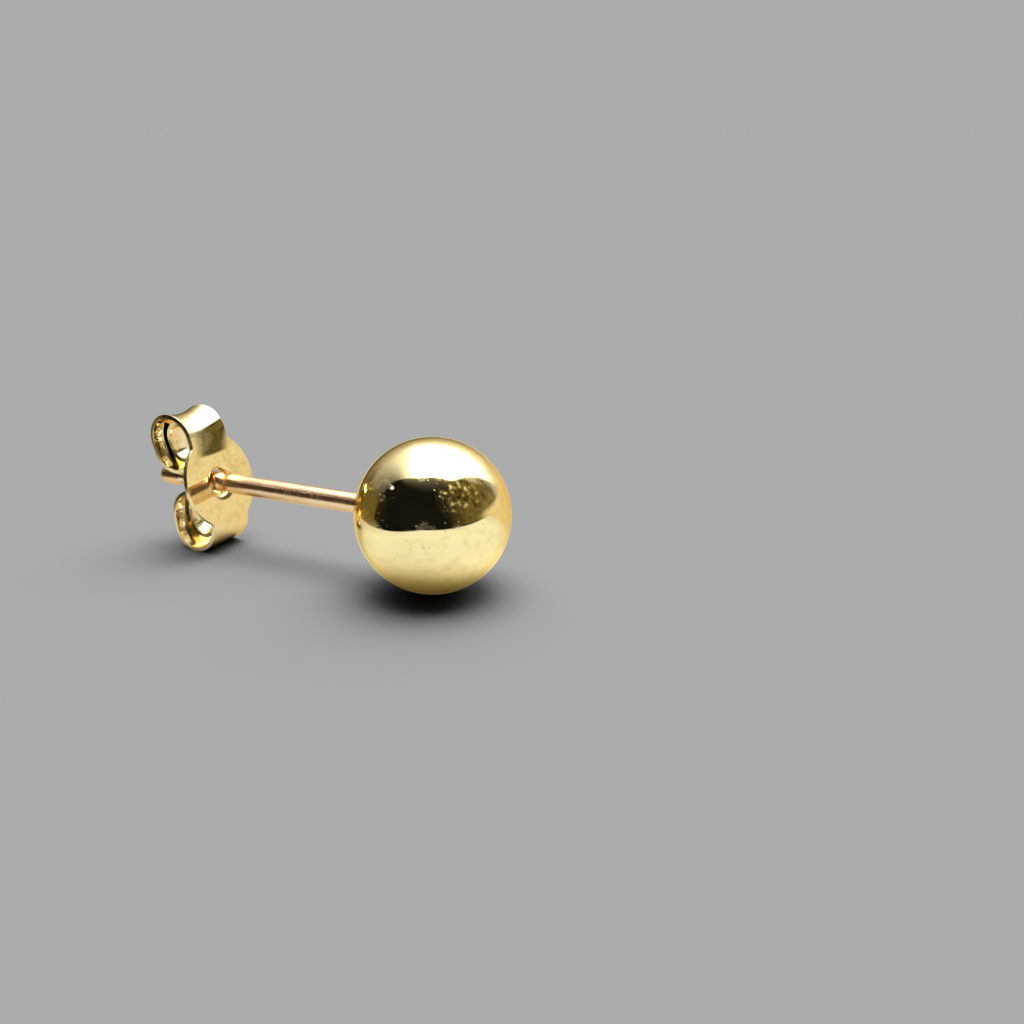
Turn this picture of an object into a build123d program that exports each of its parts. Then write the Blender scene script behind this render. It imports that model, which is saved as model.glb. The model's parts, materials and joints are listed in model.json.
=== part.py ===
"""Ball stud earring lying by itself on a flat surface.

Three pieces: a hollow ball with a soldered foot, the wire post that stands on it, and a butterfly
back that is pushed on the post.  Units are millimetres.  The post runs towards -X from the ball, +Z
is up, and the origin is on the surface, under the middle of the earring's bounding box.
"""

from build123d import *
from math import cos, hypot, radians, sin, tan
import os

# Ball and post
ball_radius = 3.0
ball_wall = 0.25
post_radius = 0.4
post_reach = 13.45  # ball centre to the end of the tip
post_slope = 0.65  # the back is a little lower than the ball, so the post slopes down to its tip
solder_fillet = 0.25
solder_reach = 3.25  # ball centre to where the solder ends and the bare wire starts
tip_rounding = 0.3
groove_width = 0.52
groove_depth = 0.07
groove_reach = (10.05, 12.05)  # ball centre to the middle of each ring groove

# Butterfly back, one strip of sheet
sheet = 0.18
strap_width = 2.12
tail_width = 0.5  # of the strap at its cut end, inside the scroll
strap_dish = 0.17  # the middle of the strap is bent in this much towards the inside of its scroll
dish_start = 1.15  # eyelet axis to where the flat strap starts to dish
flat_dish = 0.002  # as good as flat, at the necks and across the lower fold
plate_radius = 1.94
neck_fillet = 0.2
neck_length = 1.74  # eyelet axis to where the neck has narrowed to the strap
back_reach = 10.58  # ball centre to where the post's axis crosses the eyelet's axis
back_lean = 13.5  # the loose back leans on the post, its top away from the ball
scroll_depth = 2.38  # front of the plate to the back of the scrolls
turn_gap = 0.12  # between one turn of a scroll and the next
turns = (90, 180, 180, 110)  # degrees, from the top of the fold on; the last one stops short
grip_clearance = 0.025  # between the post and the scroll on each side of it
eyelet_rim_radius = 0.8
eyelet_throat_radius = 0.53
eyelet_depth = 0.36  # front of the plate to the end of the eyelet
eyelet_crossing = 0.25  # front of the plate to where the eyelet's axis crosses the post's

# The bounding box runs from the ball to the tip, and its middle is the origin
slope = radians(post_slope)
ball_x = (post_reach * cos(slope) - ball_radius) / 2
ball_centre = Vector(ball_x, 0, ball_radius)

# Local X runs along the post away from the ball, and local Y is up
post_plane = Plane(origin=ball_centre, x_dir=(-cos(slope), 0, -sin(slope)), z_dir=(0, 1, 0))


def across_post(reach):
    """The plane square to the post at this distance from the ball's centre, facing the tip."""
    origin = post_plane.from_local_coords((reach, 0, 0))
    return Plane(origin=origin, x_dir=(0, 1, 0), z_dir=post_plane.x_dir)


# A shallow ring groove is the print of a round wheel with this section radius
groove_wheel = (groove_width**2 / 4 + groove_depth**2) / (2 * groove_depth)

with BuildPart() as ball:
    with Locations(ball_centre):
        Sphere(ball_radius)
    with BuildSketch(across_post(0)):
        Circle(post_radius)
    extrude(amount=solder_reach)
    rings = ball.edges().filter_by(GeomType.CIRCLE)
    foot_rings = rings.filter_by(lambda e: abs(e.radius - post_radius) < 0.001).sort_by(Axis.X)
    fillet(foot_rings[-1], solder_fillet)
    with Locations(ball_centre):
        Sphere(ball_radius - ball_wall, mode=Mode.SUBTRACT)

with BuildPart() as post:
    with BuildSketch(across_post(solder_reach)):
        Circle(post_radius)
    extrude(amount=post_reach - solder_reach)
    wire_ends = post.edges().filter_by(GeomType.CIRCLE).sort_by(Axis.X)
    fillet(wire_ends[0], tip_rounding)
    for reach in groove_reach:
        with Locations(across_post(reach)):
            Torus(post_radius - groove_depth + groove_wheel, groove_wheel, mode=Mode.SUBTRACT)

# The back's own directions: into its depth away from the ball, and up along its strap
tipped = radians(post_slope + back_lean)
depth_dir = Vector(-cos(tipped), 0, -sin(tipped))
crossing = post_plane.from_local_coords((back_reach, 0, 0))
side_plane = Plane(origin=crossing - depth_dir * eyelet_crossing, x_dir=depth_dir, z_dir=(0, 1, 0))
front_plane = Plane(origin=side_plane.origin, x_dir=(0, 1, 0), z_dir=depth_dir)
strap_dir = side_plane.y_dir

# A scroll is rolled in turns about two centres, at its fold and at its grip on the post.
# The fold of the lower scroll rests on the surface, and both grips just clear the post.
pitch = sheet + turn_gap
lean = radians(back_lean)
fold_radius = scroll_depth / 2
grip_radius = fold_radius - pitch / 2
grip_depth = fold_radius + pitch / 2
post_height = (grip_depth - eyelet_crossing) * tan(lean)
grip_offset = (post_radius + grip_clearance - strap_dish + grip_radius) / cos(lean)
fold_drop = (side_plane.origin.Z - fold_radius - fold_radius * sin(tipped)) / cos(tipped)
span = fold_drop - grip_offset + post_height

# The strap narrows evenly from its fold, through the turns, to its cut end
turn_radii = [fold_radius - sheet / 2 - turn * pitch / 2 for turn in range(len(turns))]
leg_lengths = [radius * radians(angle) + span for radius, angle in zip(turn_radii, turns)]
leg_lengths[-1] -= span


def strap_spot(way, centre, radius, turned):
    """Where in the side plane the strap is, once it has turned this many degrees from its rise."""
    angle = radians(turned)
    return (centre[0] - radius * cos(angle), centre[1] + way * radius * sin(angle))


def strap_section(way, centre, radius, turned, dish, narrowed=0.0):
    """Section of the strap where it has turned this far, its middle bent in towards the centre.

    Narrowing cuts its dished sides off: 0 leaves the full width, and 1 the width of its tail.
    """
    angle = radians(turned)
    inwards = depth_dir * cos(angle) - strap_dir * (way * sin(angle))
    ahead = depth_dir * sin(angle) + strap_dir * (way * cos(angle))
    origin = side_plane.from_local_coords((*strap_spot(way, centre, radius, turned), 0))
    side = (strap_width - (strap_width - tail_width) * narrowed) / 2
    lift = dish * (1 - (2 * side / strap_width) ** 2)
    skin = sheet / 2
    with BuildSketch(Plane(origin=origin, x_dir=inwards, z_dir=ahead)) as section:
        with BuildLine():
            ThreePointArc((lift - skin, -side), (dish - skin, 0), (lift - skin, side))
            Line((lift - skin, side), (lift + skin, side))
            ThreePointArc((lift + skin, side), (dish + skin, 0), (lift + skin, -side))
            Line((lift + skin, -side), (lift - skin, -side))
        make_face()
    return section.sketch.faces()[0]


with BuildPart() as butterfly_back:
    # Flat plate with its two necks and the hole for the eyelet
    with BuildSketch(front_plane) as blank:
        Circle(plate_radius)
        Rectangle(2 * plate_radius, 2 * neck_length, mode=Mode.INTERSECT)
        Rectangle(strap_width, 2 * neck_length)
        corners = blank.vertices().filter_by(lambda v: abs(hypot(v.X, v.Y) - plate_radius) < 0.001)
        fillet(corners, neck_fillet)
        Circle(eyelet_rim_radius, mode=Mode.SUBTRACT)
    extrude(amount=sheet)
    # The middle of each neck gives way to a strap that starts flat; only the upper one is dished by
    # its fold, and the lower one from there on
    with BuildSketch(front_plane):
        Rectangle(strap_width, 4 * plate_radius)
        Rectangle(strap_width, 2 * dish_start, mode=Mode.SUBTRACT)
    extrude(amount=sheet, mode=Mode.SUBTRACT)
    # Paths follow the middle of the sheet along the side edges of the full strap
    for way, fold_dish in ((1, strap_dish), (-1, flat_dish)):
        grip_centre = (grip_depth, post_height + way * grip_offset)
        fold_centre = (fold_radius, grip_centre[1] + way * span)
        with BuildLine(side_plane) as rise:
            Line((sheet / 2, way * dish_start), (sheet / 2, fold_centre[1]))
            CenterArc(fold_centre, turn_radii[0], 180, -way * 90)
        neck = strap_section(way, (fold_radius, way * dish_start), turn_radii[0], 0, flat_dish)
        section = strap_section(way, fold_centre, turn_radii[0], 90, fold_dish)
        sweep(sections=[neck, section], path=rise.wires()[0], multisection=True)
        # Each leg is a turn about one centre and, but for the last, a straight run to the next
        centres = (fold_centre, grip_centre, fold_centre, grip_centre)
        turned = 90
        for leg, angle in enumerate(turns):
            centre, radius = centres[leg], turn_radii[leg]
            with BuildLine(side_plane) as path:
                CenterArc(centre, radius, 180 - way * turned, -way * angle)
                turned += angle
                if leg < len(turns) - 1:
                    leg_start = strap_spot(way, centre, radius, turned)
                    centre, radius = centres[leg + 1], turn_radii[leg + 1]
                    Line(leg_start, strap_spot(way, centre, radius, turned))
            narrowed = sum(leg_lengths[: leg + 1]) / sum(leg_lengths)
            narrower = strap_section(way, centre, radius, turned, strap_dish, narrowed)
            sweep(sections=[section, narrower], path=path.wires()[0], multisection=True)
            section = narrower
    # The eyelet is the rim of the hole turned in through a quarter circle
    lip_radius = eyelet_rim_radius - eyelet_throat_radius
    with BuildSketch(side_plane):
        with BuildLine():
            CenterArc((lip_radius, eyelet_rim_radius), lip_radius, 180, 90)
            Line((lip_radius, eyelet_throat_radius), (eyelet_depth, eyelet_throat_radius))
            Line((eyelet_depth, eyelet_throat_radius), (eyelet_depth, eyelet_throat_radius + sheet))
            Line((eyelet_depth, eyelet_throat_radius + sheet), (lip_radius, eyelet_throat_radius + sheet))
            CenterArc((lip_radius, eyelet_rim_radius), lip_radius - sheet, 270, -90)
            Line((sheet, eyelet_rim_radius), (0, eyelet_rim_radius))
        make_face()
    revolve(axis=Axis(side_plane.origin, depth_dir))

os.makedirs("parts", exist_ok=True)
ball.part.label = "ball"
export_step(ball.part, "parts/ball.step")
post.part.label = "post"
export_step(post.part, "parts/post.step")
butterfly_back.part.label = "butterfly_back"
export_step(butterfly_back.part, "parts/butterfly_back.step")
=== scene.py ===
"""A ball stud earring in polished yellow gold, lying on a pale card under one large soft lamp.

Lengths are worked out in millimetres; Blender's own are metres.
"""

import json
from math import atan2, ceil, cos, degrees, hypot, pi, radians, sin, sqrt, tan

import bpy
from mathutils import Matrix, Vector, noise


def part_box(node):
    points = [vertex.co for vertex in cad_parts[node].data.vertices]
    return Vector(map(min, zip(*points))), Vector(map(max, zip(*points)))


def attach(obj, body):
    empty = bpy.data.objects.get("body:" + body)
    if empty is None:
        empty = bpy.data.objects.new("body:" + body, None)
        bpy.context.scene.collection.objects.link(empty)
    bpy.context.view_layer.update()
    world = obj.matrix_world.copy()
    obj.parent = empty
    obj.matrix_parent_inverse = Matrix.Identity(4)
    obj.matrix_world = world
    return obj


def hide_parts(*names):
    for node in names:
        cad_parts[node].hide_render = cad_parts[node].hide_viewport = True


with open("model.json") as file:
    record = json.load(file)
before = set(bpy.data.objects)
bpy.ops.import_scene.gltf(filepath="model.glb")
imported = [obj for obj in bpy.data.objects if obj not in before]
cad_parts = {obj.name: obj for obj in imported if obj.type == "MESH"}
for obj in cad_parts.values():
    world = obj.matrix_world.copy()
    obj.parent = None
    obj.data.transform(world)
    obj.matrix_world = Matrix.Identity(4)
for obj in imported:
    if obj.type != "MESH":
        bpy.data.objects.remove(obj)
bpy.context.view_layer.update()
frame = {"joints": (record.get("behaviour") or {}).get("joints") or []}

# ---- Ball ------------------------------------------------------------------------------------
# Two thin half shells of 10 karat gold, soldered together, filed and buffed to a mirror by hand.
# The joint with the post is buffed over too, and leaves a small hollow foot round the wire.

METRES = 0.001  # in a millimetre

ball_low, ball_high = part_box("ball")
post_low, post_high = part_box("post")
ball_radius = (ball_high.z - ball_low.z) / 2 / METRES
ball_centre = Vector((ball_high.x / METRES - ball_radius, 0, ball_radius))
slide = frame["joints"][0]
post_dir = Vector(slide["axis"]).normalized()  # from the ball towards the tip
side_dir = Vector((0, 1, 0))
rise_dir = side_dir.cross(post_dir)
post_radius = round((post_high.y - post_low.y) / 2 / METRES, 2)
solder_fillet = 0.25

facets = 256  # round the post's axis
ball_step = 0.06  # between two rings of the mesh
foot_step = 0.025
pole_angle = 179.6  # of the first ring, which one point closes
ball_waves = ((0.55, 0.0022), (1.6, 0.0007))  # waves to the millimetre, and how far they heave


def turned_arc(centre, radius, start, end, step):
    """Points of a lathe profile on an arc, as (reach along the post, radius), without the last."""
    count = max(4, ceil(radius * abs(radians(end - start)) / step))
    for i in range(count):
        angle = radians(start + (end - start) * i / count)
        yield centre[0] + radius * cos(angle), centre[1] + radius * sin(angle)


def gold_mesh(name, points, faces):
    """A smooth-shaded object of this name from points in millimetres."""
    mesh = bpy.data.meshes.new(name)
    mesh.from_pydata([point * METRES for point in points], [], faces)
    mesh.validate()
    mesh.shade_smooth()
    piece = bpy.data.objects.new(name, mesh)
    bpy.context.scene.collection.objects.link(piece)
    return piece


def turned_piece(name, profile, waves):
    """A closed skin spun about the post's axis, sunk here and there by the waves of hand work."""
    points, faces = [], []
    for reach, radius in profile:
        for k in range(facets):
            angle = 2 * pi * k / facets
            outwards = side_dir * cos(angle) + rise_dir * sin(angle)
            spot = ball_centre + post_dir * reach + outwards * radius
            sunk = sum(deep * abs(noise.noise(spot * often)) for often, deep in waves)
            # The ball sinks towards its middle, and the foot and the wire towards their axis
            centre = ball_centre if reach < ball_radius else spot - outwards * radius
            points.append(spot - (spot - centre).normalized() * sunk)
    for ring in range(len(profile) - 1):
        for k in range(facets):
            here, after = ring * facets + k, ring * facets + (k + 1) % facets
            faces.append((here, after, after + facets, here + facets))
    first_end, last_end = len(points), len(points) + 1
    last_ring = first_end - facets
    points += [ball_centre + post_dir * reach for reach, radius in (profile[0], profile[-1])]
    for k in range(facets):
        after = (k + 1) % facets
        faces.append((first_end, after, k))
        faces.append((last_end, last_ring + k, last_ring + after))
    return gold_mesh(name, points, faces)


foot_reach = sqrt((ball_radius + solder_fillet) ** 2 - (post_radius + solder_fillet) ** 2)
foot_centre = (foot_reach, post_radius + solder_fillet)
foot_angle = degrees(atan2(foot_centre[1], foot_centre[0]))
ball_profile = list(turned_arc((0, 0), ball_radius, pole_angle, foot_angle, ball_step))
ball_profile += turned_arc(foot_centre, solder_fillet, 180 + foot_angle, 270, foot_step)
ball = turned_piece("buffed_ball", ball_profile, ball_waves)


class Socket:
    """A socket of a shader tree.  Arithmetic on it adds Math nodes, and node() adds any other."""

    def __init__(self, tree, socket=None):
        self.tree, self.socket = tree, socket

    def node(self, kind, settings, sockets, output=0):
        made = self.tree.nodes.new(kind)
        for name, value in settings.items():
            setattr(made, name, value)
        for name, value in sockets.items():
            if isinstance(value, Socket):
                self.tree.links.new(value.socket, made.inputs[name])
            else:
                made.inputs[name].default_value = value
        return Socket(self.tree, made.outputs[output] if made.outputs else None)

    def maths(self, operation, *others):
        sockets = dict(enumerate((self, *others)))
        return self.node("ShaderNodeMath", {"operation": operation}, sockets)

    def __add__(self, other):
        return self.maths("ADD", other)

    def __sub__(self, other):
        return self.maths("SUBTRACT", other)

    def __rsub__(self, other):
        return self.node("ShaderNodeMath", {"operation": "SUBTRACT"}, {0: other, 1: self})

    def __mul__(self, other):
        return self.maths("MULTIPLY", other)

    def __truediv__(self, other):
        return self.maths("DIVIDE", other)

    def __rtruediv__(self, other):
        return self.node("ShaderNodeMath", {"operation": "DIVIDE"}, {0: other, 1: self})

    __radd__ = __add__
    __rmul__ = __mul__


def empty_tree(owner):
    """A material's or a world's shader tree, cleared, as a socket that new nodes can start from."""
    owner.use_nodes = True
    owner.node_tree.nodes.clear()
    return Socket(owner.node_tree)


def rises(value, low, high):
    """0 below low, 1 above high, and smooth between them."""
    settings = {"interpolation_type": "SMOOTHSTEP"}
    return value.node("ShaderNodeMapRange", settings, {0: value, 1: low, 2: high})


def mixed(amount, first, second):
    """One colour turning into another."""
    settings = {"data_type": "RGBA"}
    return amount.node("ShaderNodeMix", settings, {0: amount, 6: first, 7: second}, 2)


def scaled(vector, scales):
    """A vector times one scale for each axis."""
    sockets = {0: vector, 1: scales}
    return vector.node("ShaderNodeVectorMath", {"operation": "MULTIPLY"}, sockets)


def clouds(vector, often, detail=2.0):
    """Soft noise about 0.5, so many waves to the millimetre."""
    sockets = {"Vector": vector, "Scale": often, "Detail": detail}
    return vector.node("ShaderNodeTexNoise", {}, sockets)


def pits(place, often, rare):
    """Small round pits, so many cells to the millimetre, in the few cells past this chance."""
    pit_floor, pit_edge = 0.14, 0.26  # from the middle of a cell, in cells
    cells = {"Vector": place, "Scale": often}
    to_pit = place.node("ShaderNodeTexVoronoi", {}, cells)
    colour = place.node("ShaderNodeTexVoronoi", {}, cells, "Color")
    chance = place.node("ShaderNodeSeparateColor", {}, {0: colour})
    return (1 - rises(to_pit, pit_floor, pit_edge)) * rises(chance, rare, rare + 0.01)


def polished_gold(name, pale, deep, polish_lines, smooth=0.035, haze_roughness=0.05, stain=0.0):
    """Polished 10 karat yellow gold with its casting pits, buffing haze and hair scratches.

    polish_lines gives the directions of the finest scratches, as waves to the millimetre on each axis.
    stain is the share of dull, coppery skin that the heat of soldering has left.
    """
    grazing_gold = (0.90, 0.76, 0.48, 1.0)
    waxy_gold = (0.78, 0.60, 0.30, 1.0)
    pit_brown = (0.30, 0.20, 0.07, 1.0)
    fired_copper = (0.80, 0.32, 0.13, 1.0)
    pit_depth, pit_roughness = 0.006, 0.35
    scratch_depth, scratch_roughness = 0.0009, 0.14
    scratch_width = 0.012  # as the span of a noise about its middle

    material = bpy.data.materials.new(name)
    start = empty_tree(material)
    place = scaled(start.node("ShaderNodeTexCoord", {}, {}, "Object"), (1 / METRES,) * 3)

    tint = clouds(place, 0.45)
    haze = rises(clouds(place, 1.1, 4.0), 0.42, 0.75)

    pit = pits(place, 9.0, 0.94) + pits(place, 3.6, 0.97)

    # A scratch runs wherever a long drawn out noise crosses its middle, and comes in patches
    scratch = 0.0
    for often in polish_lines:
        line = clouds(scaled(place, often), 1.0, 1.0)
        scratch = scratch + (1 - rises((line - 0.5).maths("ABSOLUTE"), 0.0, scratch_width))
    scratch = scratch * rises(clouds(place, 0.8), 0.45, 0.7)

    # Buffing wax is left on it in thin smears
    smear = rises(clouds(scaled(place, (0.9, 3.2, 3.2)), 1.0, 5.0), 0.46, 0.68)

    colour = mixed(tint, pale, deep)
    colour = mixed(smear * 0.5, colour, waxy_gold)
    colour = mixed(pit * 0.7, colour, pit_brown)
    roughness = smooth + haze_roughness * haze
    roughness = roughness + scratch_roughness * scratch + pit_roughness * pit
    height = 0.0 - pit * pit_depth - scratch * scratch_depth
    relief = {"Strength": 1.0, "Distance": METRES, "Height": height}
    bump = place.node("ShaderNodeBump", {}, relief)
    gold = place.node(
        "ShaderNodeBsdfPrincipled",
        {},
        {
            "Base Color": colour,
            "Metallic": 1.0,
            "Roughness": roughness,
            "Specular Tint": grazing_gold,
            "Normal": bump,
        },
    )
    if stain:
        fired = place.node(
            "ShaderNodeBsdfPrincipled",
            {},
            {"Base Color": fired_copper, "Metallic": 1.0, "Roughness": 0.5, "Normal": bump},
        )
        share = stain * (0.7 + 0.6 * tint)
        gold = gold.node("ShaderNodeMixShader", {}, {0: share, 1: gold, 2: fired})
    gold.node("ShaderNodeOutputMaterial", {}, {"Surface": gold})
    return material


ball.data.materials.append(
    polished_gold(
        "buffed_gold",
        (0.94, 0.80, 0.45, 1.0),
        (0.91, 0.76, 0.39, 1.0),
        ((2.0, 30.0, 24.0), (26.0, 3.0, 30.0)),
    )
)
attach(ball, "stud")
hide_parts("ball")

# ---- Post ------------------------------------------------------------------------------------
# Drawn ear wire, 0.8 mm thick, butted on the ball and soldered.  Two shallow grooves are rolled
# round it for the back to click into, and its tip is burred round.

post_reach = 13.45  # ball centre to the end of the tip
tip_rounding = 0.3
groove_width = 0.52
groove_depth = 0.07
groove_reach = (10.05, 12.05)
wire_step = 0.12
groove_step = 0.03
tip_step = 0.02
tip_middle = 0.03  # radius of the last ring, which one point closes
wire_sunk = 0.06  # into the solder
wire_waves = ((0.35, 0.004), (1.1, 0.002))

groove_wheel = (groove_width**2 / 4 + groove_depth**2) / (2 * groove_depth)
groove_half_angle = degrees(atan2(groove_width / 2, groove_wheel - groove_depth))


def plain_wire(start, end):
    """Rings of straight wire from one reach towards another, without the last."""
    count = max(1, round((end - start) / wire_step))
    return [(start + (end - start) * i / count, post_radius) for i in range(count)]


wire_profile = []
reach = foot_reach - wire_sunk
for middle in groove_reach:
    wire_profile += plain_wire(reach, middle - groove_width / 2)
    wheel = (middle, post_radius - groove_depth + groove_wheel)
    shoulders = (270 - groove_half_angle, 270 + groove_half_angle)
    wire_profile += turned_arc(wheel, groove_wheel, *shoulders, groove_step)
    reach = middle + groove_width / 2
wire_profile += plain_wire(reach, post_reach - tip_rounding)
tip_centre = (post_reach - tip_rounding, post_radius - tip_rounding)
wire_profile += turned_arc(tip_centre, tip_rounding, 90, 0, tip_step)
wire_profile += [(post_reach, post_radius - tip_rounding), (post_reach, tip_middle)]
wire = turned_piece("ear_wire", wire_profile, wire_waves)

wire.data.materials.append(
    polished_gold(
        "drawn_wire_gold",
        (0.94, 0.78, 0.54, 1.0),
        (0.88, 0.68, 0.43, 1.0),
        ((0.4, 34.0, 34.0), (30.0, 4.0, 30.0)),
        smooth=0.20,
        haze_roughness=0.10,
        stain=0.20,
    )
)
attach(wire, "stud")
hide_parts("post")

# ---- Butterfly back --------------------------------------------------------------------------
# One strip of rolled gold sheet.  Its round middle is pierced and turned in to a dimpled eyelet for
# the post, and its two ends, dished along their length, are rolled up into scrolls that grip it.

sheet = 0.18
strap_width = 2.12
tail_width = 0.5  # of the strap where it ends, deep in its scroll
strap_dish = 0.17  # the middle of the strap is bent in this much towards the inside of its scroll
dish_start = 1.15  # eyelet axis to where the upper strap starts to dish
disc_radius = 1.94
neck_fillet = 0.2
scroll_depth = 2.38  # front of the disc to the back of the scrolls
turn_gap = 0.12  # between one turn of a scroll and the next
half_turns = (180, 180, 180, 110)  # about the fold, the grip, the fold again and the grip again
back_reach = 10.58  # ball centre to where the post's axis crosses the eyelet's axis
back_lean = 13.5  # its top is away from the ball
grip_clearance = 0.025
eyelet_rim_radius = 0.8
eyelet_throat_radius = 0.53
eyelet_depth = 0.36
dimple_slope = 12  # degrees the eyelet's edge is pressed in before it turns into the throat
lip_bend = 0.10  # radius of that turn
eyelet_crossing = 0.25  # front of the disc to where the two axes cross

across = 32  # squares over the strap's width
strap_step = 0.05
disc_rings = 16
disc_step = 0.06
bend_step = 0.03
edge_rounding = 0.03

lean = radians(back_lean)
tipped = lean + atan2(-post_dir.z, -post_dir.x)  # the post itself slopes down to its tip
depth_dir = Vector((-cos(tipped), 0, -sin(tipped)))
strap_dir = Vector((-sin(tipped), 0, cos(tipped)))
crossing = ball_centre + post_dir * back_reach
disc_middle = crossing - depth_dir * eyelet_crossing

pitch = sheet + turn_gap
fold_radius = scroll_depth / 2
grip_radius = fold_radius - pitch / 2
grip_depth = fold_radius + pitch / 2
post_height = (grip_depth - eyelet_crossing) * tan(lean)
grip_offset = (post_radius + grip_clearance - strap_dish + grip_radius) / cos(lean)
fold_drop = (disc_middle.z - fold_radius * (1 + sin(tipped))) / cos(tipped)
span = fold_drop - grip_offset + post_height
fold_height = {1: post_height + grip_offset + span, -1: fold_drop}
crest_radius = fold_radius - sheet / 2
quarter_fold = crest_radius * pi / 2
half_width = strap_width / 2


def strap_run(way):
    """The strap's course from the disc's middle: (length or radius, degrees of turn) of each leg."""
    legs = [(fold_height[way], 0)]
    for turn, angle in enumerate(half_turns):
        legs.append((crest_radius - turn * pitch / 2, angle))
        legs.append((span, 0))
    return legs[:-1]


def strap_length(way):
    """Length of the strap's course from the disc's middle to its cut end."""
    return sum(size * radians(angle) if angle else size for size, angle in strap_run(way))


def strap_spot(way, along):
    """Depth and height of the middle of the sheet at this distance, and the way in to the scroll."""
    depth, height, turned = sheet / 2, 0.0, 0.0
    left = along
    for size, angle in strap_run(way):
        heading = (sin(turned), way * cos(turned))
        inwards = (cos(turned), -way * sin(turned))
        length = size * radians(angle) if angle else size
        part = min(left, length)
        if angle:
            swept = part / size
            depth += size * (inwards[0] * (1 - cos(swept)) + heading[0] * sin(swept))
            height += size * (inwards[1] * (1 - cos(swept)) + heading[1] * sin(swept))
            turned += swept
        else:
            depth += heading[0] * part
            height += heading[1] * part
        left -= part
        if left <= 0:
            break
    return depth, height, (cos(turned), -way * sin(turned))


def strap_narrowing(way, along):
    """Part of the strap's full width that is left here: its arms are cut to a tail past the fold."""
    fold_top = fold_height[way] + quarter_fold
    passed = max(0.0, along - fold_top) / (strap_length(way) - fold_top)
    return 1 - (1 - tail_width / strap_width) * passed


def on_strip(side, along):
    """The point in space of a spot of the flat strip, so far to the side of and along its middle.

    The lower strap stays flat across over its fold, and is dished from there to its grip on the post.
    """
    way = 1 if along >= 0 else -1
    depth, height, inwards = strap_spot(way, abs(along))
    fold_top = fold_height[way] + quarter_fold
    dish_from, dish_to = dish_start, fold_top
    if way < 0:
        dish_from, dish_to = fold_top, fold_top + quarter_fold + span
    rise = min(1.0, max(0.0, (abs(along) - dish_from) / (dish_to - dish_from)))
    dish = strap_dish * rise * max(0.0, 1 - (side / half_width) ** 2)
    depth += inwards[0] * dish
    height += inwards[1] * dish
    return disc_middle + depth_dir * depth + strap_dir * height + side_dir * side


# The disc's outline, clockwise from the upper neck's left-hand end
fillet_side = half_width + neck_fillet
neck_height = sqrt((disc_radius + neck_fillet) ** 2 - fillet_side**2)
neck_angle = degrees(atan2(neck_height, fillet_side))
upper_neck = [(half_width * (2 * i / across - 1), neck_height) for i in range(across)]
corner = (fillet_side, neck_height)
right_side = list(turned_arc(corner, neck_fillet, 180, 180 + neck_angle, bend_step))
right_side += turned_arc((0, 0), disc_radius, neck_angle, -neck_angle, disc_step)
corner = (fillet_side, -neck_height)
right_side += turned_arc(corner, neck_fillet, 180 - neck_angle, 180, bend_step)
outline = upper_neck + right_side
outline += [(-side, -along) for side, along in outline]
rim = len(outline)

back_points, back_faces = [], []


def join_rings(first, second, count, closed=True):
    """Faces between two rings or rows of points that start at these numbers."""
    for k in range(count if closed else count - 1):
        after = (k + 1) % count
        back_faces.append((first + k, first + after, second + after, second + k))


# The eyelet's throat, then its lip, then the flat disc out to its outline
throat_radius = eyelet_throat_radius + sheet / 2
dimple_inside = throat_radius + lip_bend * (1 - sin(radians(dimple_slope)))
dimple_depth = sheet / 2 + (eyelet_rim_radius - dimple_inside) * tan(radians(dimple_slope))
bend_depth = dimple_depth + lip_bend * cos(radians(dimple_slope))
eyelet = [(eyelet_depth, throat_radius), ((eyelet_depth + bend_depth) / 2, throat_radius)]
bend_centre = (bend_depth, throat_radius + lip_bend)
eyelet += turned_arc(bend_centre, lip_bend, 270, 180 + dimple_slope, bend_step)
eyelet += [(dimple_depth, dimple_inside)]
for depth, radius in eyelet:
    for side, along in outline:
        angle = atan2(along, side)
        spoke = side_dir * cos(angle) + strap_dir * sin(angle)
        back_points.append(disc_middle + depth_dir * depth + spoke * radius)
for ring in range(disc_rings + 1):
    for side, along in outline:
        shrink = eyelet_rim_radius / hypot(side, along)
        scale = shrink + (1 - shrink) * ring / disc_rings
        back_points.append(on_strip(side * scale, along * scale))
for ring in range(len(eyelet) + disc_rings):
    join_rings(ring * rim, (ring + 1) * rim, rim)

# Each strap goes on from its neck, row by row, to its cut end
disc_edge = (len(eyelet) + disc_rings) * rim
for way, neck_start in ((1, 0), (-1, rim // 2)):
    length = strap_length(way)
    rows = round((length - neck_height) / strap_step)
    row_start = disc_edge + neck_start
    for row in range(1, rows + 1):
        along = neck_height + (length - neck_height) * row / rows
        next_start = len(back_points)
        narrow = half_width * strap_narrowing(way, along)
        for i in range(across + 1):
            side = narrow * (2 * i / across - 1)
            back_points.append(on_strip(way * side, way * along))
        join_rings(row_start, next_start, across + 1, closed=False)
        row_start = next_start

back = gold_mesh("scroll_back", back_points, back_faces)
thicken = back.modifiers.new("sheet", "SOLIDIFY")
thicken.thickness = sheet * METRES
thicken.offset = 0
thicken.use_even_offset = True
thicken.material_offset = 1
thicken.material_offset_rim = 2
rounding = back.modifiers.new("tumbled_edges", "BEVEL")
rounding.width = edge_rounding * METRES
rounding.segments = 3
rounding.limit_method = "ANGLE"
rounding.angle_limit = radians(50)
rounding.harden_normals = True

strip_lines = ((24.0, 2.0, 24.0), (20.0, 26.0, 2.5))
back.data.materials.append(
    polished_gold(
        "rolled_sheet_gold",
        (0.93, 0.81, 0.49, 1.0),
        (0.90, 0.77, 0.43, 1.0),
        strip_lines,
    )
)
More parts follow.
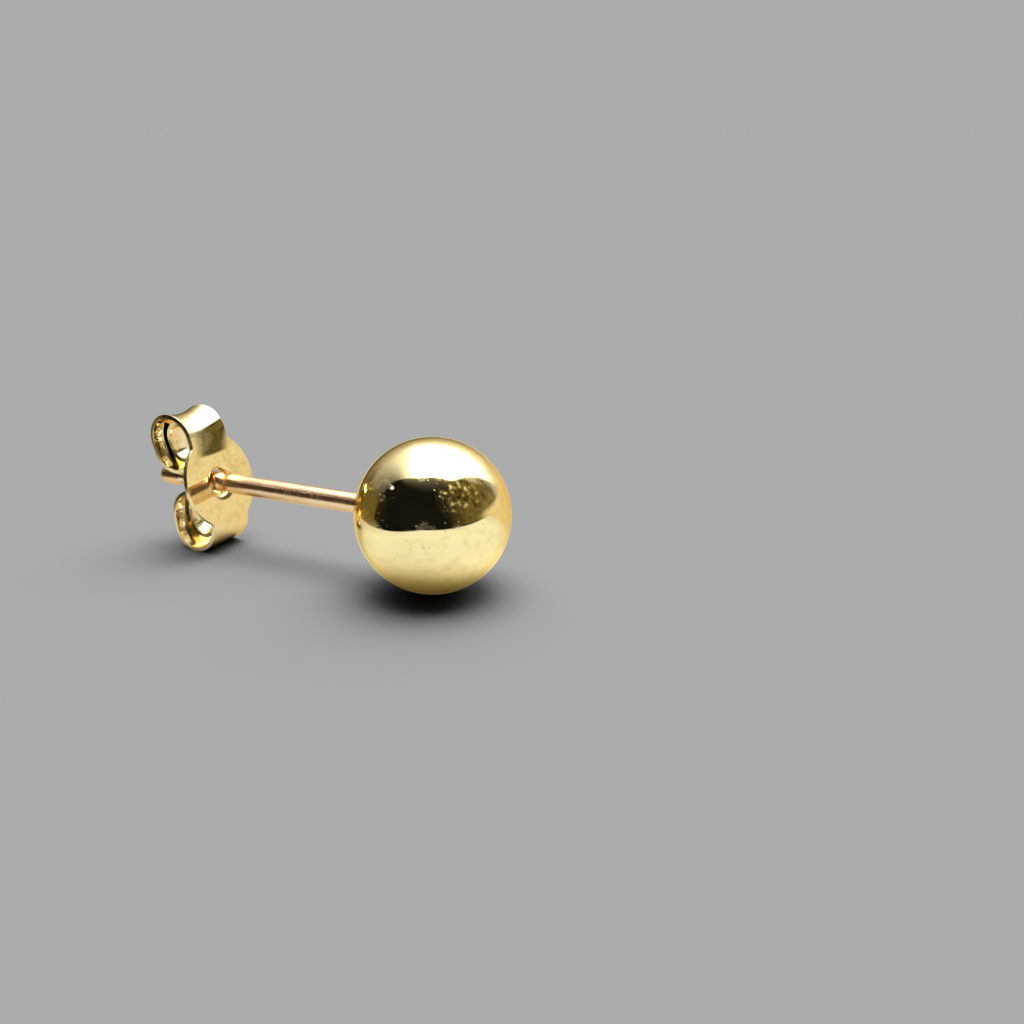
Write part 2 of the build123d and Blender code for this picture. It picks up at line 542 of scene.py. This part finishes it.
# The inside of the scrolls is a little rougher, out of reach of the buff; its paler colour is painted
# light, standing in for the brighter look of the lit hollows
back.data.materials.append(
    polished_gold(
        "pale_painted_inner_gold",
        (0.95, 0.88, 0.70, 1.0),
        (0.93, 0.85, 0.64, 1.0),
        strip_lines,
        smooth=0.06,
    )
)
back.data.materials.append(
    polished_gold(
        "sheared_edge_gold",
        (0.93, 0.82, 0.52, 1.0),
        (0.88, 0.75, 0.42, 1.0),
        strip_lines,
        smooth=0.26,
        haze_roughness=0.12,
    )
)
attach(back, "back")
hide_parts("butterfly_back")

# ---- Card and table --------------------------------------------------------------------------
# A pale card that the earring lies on, on a dark table, with the card's edge close by on the left.
# Both show as one even grey, and only the gold mirrors what they are.

card_shown = (0.1586, 0.1664, 0.1727, 1.0)
card_white = (0.40, 0.425, 0.42, 1.0)
card_far_white = (0.35, 0.304, 0.209, 1.0)  # past the earring, where the light is warmer
table_dark = (0.0034, 0.0034, 0.0034, 1.0)
table_olive = (0.061, 0.048, 0.015, 1.0)
# painted light: the colour of the glow painted on the card round the ball
painted_bounce_gold = (0.50, 0.42, 0.22, 1.0)
black = (0.0, 0.0, 0.0, 1.0)
card_left = 19  # from the ball's middle to the card's edge
card_near = 86
card_edge = 1
warm_start, warm_end = -2, 5  # from the origin, away from the viewer
olive_start, olive_end = -10, -5
painted_bounce_start, painted_bounce_end = 0.5, 6.5  # from under the ball
shade_start, shade_end = 1.2, 3.2
shade_light = 0.27
table_reach = 1500
table_drop = 0.001  # below the earring

viewing_yaw = radians(117.428)
viewing_pitch = radians(18.465)
away_dir = Vector((cos(viewing_yaw), sin(viewing_yaw), 0))
right_dir = Vector((sin(viewing_yaw), -cos(viewing_yaw), 0))

under_ball = Vector((ball_centre.x, ball_centre.y, -table_drop))
corners = []
for right, away in ((-1, -1), (1, -1), (1, 1), (-1, 1)):
    corners.append(under_ball + (right_dir * right + away_dir * away) * table_reach)
table = gold_mesh("table", corners, [(0, 1, 2, 3)])


def how_far(vector, way):
    """How far a vector of a shader reaches this way."""
    sockets = {0: vector, 1: way}
    return vector.node("ShaderNodeVectorMath", {"operation": "DOT_PRODUCT"}, sockets, "Value")


material = bpy.data.materials.new("card_and_table")
start = empty_tree(material)
seen_directly = start.node("ShaderNodeLightPath", {}, {}, "Is Camera Ray")
spot = start.node("ShaderNodeTexCoord", {}, {}, "Object")
to_right = how_far(spot, right_dir)
to_far = how_far(spot, away_dir)
left_edge = under_ball.dot(right_dir) - card_left
near_edge = under_ball.dot(away_dir) - card_near
on_card = rises(to_right, left_edge * METRES, (left_edge + card_edge) * METRES)
on_card = on_card * rises(to_far, near_edge * METRES, (near_edge + card_edge) * METRES)
warmth = rises(to_far, warm_start * METRES, warm_end * METRES)
white = mixed(warmth, card_white, card_far_white)
dull = mixed(rises(to_far, olive_start * METRES, olive_end * METRES), table_dark, table_olive)
white = mixed(on_card, dull, white)
paper = start.node("ShaderNodeBsdfDiffuse", {}, {"Color": mixed(seen_directly, white, card_shown)})
# Painted light: a gold glow painted on the card, seen only in the gold, stands in for the light the
# ball throws down, as a ring round the ball's own shade
underneath = {0: spot, 1: under_ball * METRES}
from_ball = spot.node("ShaderNodeVectorMath", {"operation": "DISTANCE"}, underneath, "Value")
lit_again = rises(from_ball, shade_start * METRES, shade_end * METRES)
painted_bounce = 1 - rises(from_ball, painted_bounce_start * METRES, painted_bounce_end * METRES)
painted_bounce = painted_bounce * (shade_light + (1 - shade_light) * lit_again) * (1 - seen_directly)
glow = start.node("ShaderNodeEmission", {}, {"Color": mixed(painted_bounce, black, painted_bounce_gold)})
paper = start.node("ShaderNodeAddShader", {}, {0: paper, 1: glow})
paper.node("ShaderNodeOutputMaterial", {}, {"Surface": paper})
table.data.materials.append(material)

# ---- Studio ----------------------------------------------------------------------------------
# A large soft lamp over the card, which reaches further away than near.  The room behind the viewer
# is dark, a dull yellow board stands on either side, and pale walls close it low on the right and
# far away.  It shows as the same even grey, and each thing in it is a span of directions.

shown_grey = (0.407, 0.412, 0.412, 1.0)
lamp_light, lamp_softness = 0.42, 0.15
lamp_core = 9.0
bulb_light = 9.0
bulb_inner, bulb_outer = 1.0, 1.8  # degrees from its middle
bulb_heading = radians(-100)
bulb_height = radians(38)
board_yellow = (0.17, 0.136, 0.049, 1.0)
board_glint = (1.1, 1.0, 0.62, 1.0)
left_olive = (0.16, 0.125, 0.04, 1.0)
wall_cream = (0.92, 0.80, 0.55, 1.0)

world = bpy.data.worlds.new("studio")
bpy.context.scene.world = world
start = empty_tree(world)
direction = start.node("ShaderNodeTexCoord", {}, {}, "Generated")


def at_least(value, least):
    """The value, raised to the least where it is under that."""
    return value.maths("MAXIMUM", least)


up = how_far(direction, (0.0, 0.0, 1.0))
right = how_far(direction, right_dir)
away = how_far(direction, away_dir)
level = (1.001 - up * up).maths("SQRT")
overhead = at_least(up, 0.02)
box_right = right / overhead  # on a ceiling one unit up
box_away = away / overhead

# The lamp's near and right sides are cut off square, and it fades out to the left and far away
lamp_shape = rises(box_away, -0.30, -0.26) * (1 - rises(box_right - box_away, 0.76, 0.82))
lamp_fade = at_least(-0.4 - box_right, 0.0) + 0.9 * at_least(box_away - 1.3, 0.0)
off_middle = box_right - 0.1
from_middle = (off_middle * off_middle + (box_away - 0.2) * (box_away - 0.2)).maths("SQRT")
left_dim = 1 - 0.75 * rises(away / level, 0.45, -0.15) * rises(box_right, -0.3, -1.2)
lamp = lamp_light / (lamp_softness + lamp_fade) * left_dim
lamp = lamp + lamp_core * rises(from_middle, 0.62, 0.2)

# A small bare bulb burns in the room, up to the left of the viewer
bulb_level = away_dir * cos(bulb_heading) + right_dir * sin(bulb_heading)
bulb_dir = bulb_level * cos(bulb_height) + Vector((0, 0, sin(bulb_height)))
bulb_middle = how_far(direction, bulb_dir)
bulb = bulb_light * rises(bulb_middle, cos(radians(bulb_outer)), cos(radians(bulb_inner)))

# The dark room ends at the lamp and at a wall on the left
room_edge = away + 0.33 * right + 0.369 * up
dark = rises(room_edge, 0.02, -0.03) * rises(away, 0.04, -0.06)
ceiling = 0.009 + 0.026 / (0.077 + at_least(-0.27 - box_away, 0.0)) * rises(up, 0.75, 0.95)

# The boards are crumpled: the right one is mottled, and glints where it leans under the lamp
mottle = clouds(direction, 9.0, 4.0)
board = rises(right / level, 0.40, 0.92) * (1 - rises(away / level, 0.38, 0.46))
board = board * rises(mottle, 0.25, 0.55)
sparkle = rises(mottle, 0.55, 0.68) * rises(right / level, 0.2, 0.6) * rises(up, 0.2, 0.6)
sparkle = sparkle * rises(away, 0.1, -0.15)
left_board = (1 - rises(up, 0.22, 0.40)) * rises(away / level, -0.08, 0.02)
left_board = left_board * rises(0.0 - right / level, 0.60, 0.72)

# Pale walls close the room low on the right, and far away
low_wall = (1 - rises(up, 0.08, 0.16)) * rises(right + 0.3 * away, 0.4, 0.8)
low_wall = low_wall * rises(away, -0.35, 0.1)
far_wall = rises(away / level, 0.35, 0.6) * (0.12 + 0.5 * rises(right, -0.1, 0.6))
far_wall = far_wall + 0.24 * rises(up, -0.1, 0.4) * rises(away / level, 0.35, 1.0)
far_wall = far_wall * (1 - rises(right - 2.2 * away, 0.0, 0.2))

lit = start.node("ShaderNodeCombineColor", {}, {0: ceiling, 1: ceiling * 0.95, 2: ceiling * 0.85})
studio = mixed(board, lit, board_yellow)
studio = mixed(sparkle * (1 - lamp_shape), studio, board_glint)
bright = lamp * lamp_shape * (1 - dark) + far_wall + bulb
lit = start.node("ShaderNodeCombineColor", {}, {0: bright, 1: bright * 0.97, 2: bright * 0.94})
added = {"data_type": "RGBA", "blend_type": "ADD"}
studio = start.node("ShaderNodeMix", added, {0: 1.0, 6: studio, 7: lit}, 2)
studio = mixed(low_wall, studio, wall_cream)
studio = mixed(left_board, studio, left_olive)
seen_directly = start.node("ShaderNodeLightPath", {}, {}, "Is Camera Ray")
glow = start.node("ShaderNodeBackground", {}, {"Color": mixed(seen_directly, studio, shown_grey)})
glow.node("ShaderNodeOutputWorld", {}, {"Surface": glow})
# The light the gold throws down is painted into the card as a glow, above
bpy.context.scene.cycles.caustics_reflective = False

camera = bpy.data.objects.new("camera", bpy.data.cameras.new("camera"))
bpy.context.scene.collection.objects.link(camera)
camera.location = Vector((27.391, -36.199, 17.278)) * METRES
camera.rotation_euler = (pi / 2 - viewing_pitch, 0, viewing_yaw - pi / 2)
camera.data.lens = 41.34
camera.data.clip_start = METRES
camera.data.clip_end = 10.0
bpy.context.scene.camera = camera
bpy.context.scene.view_settings.view_transform = "Standard"
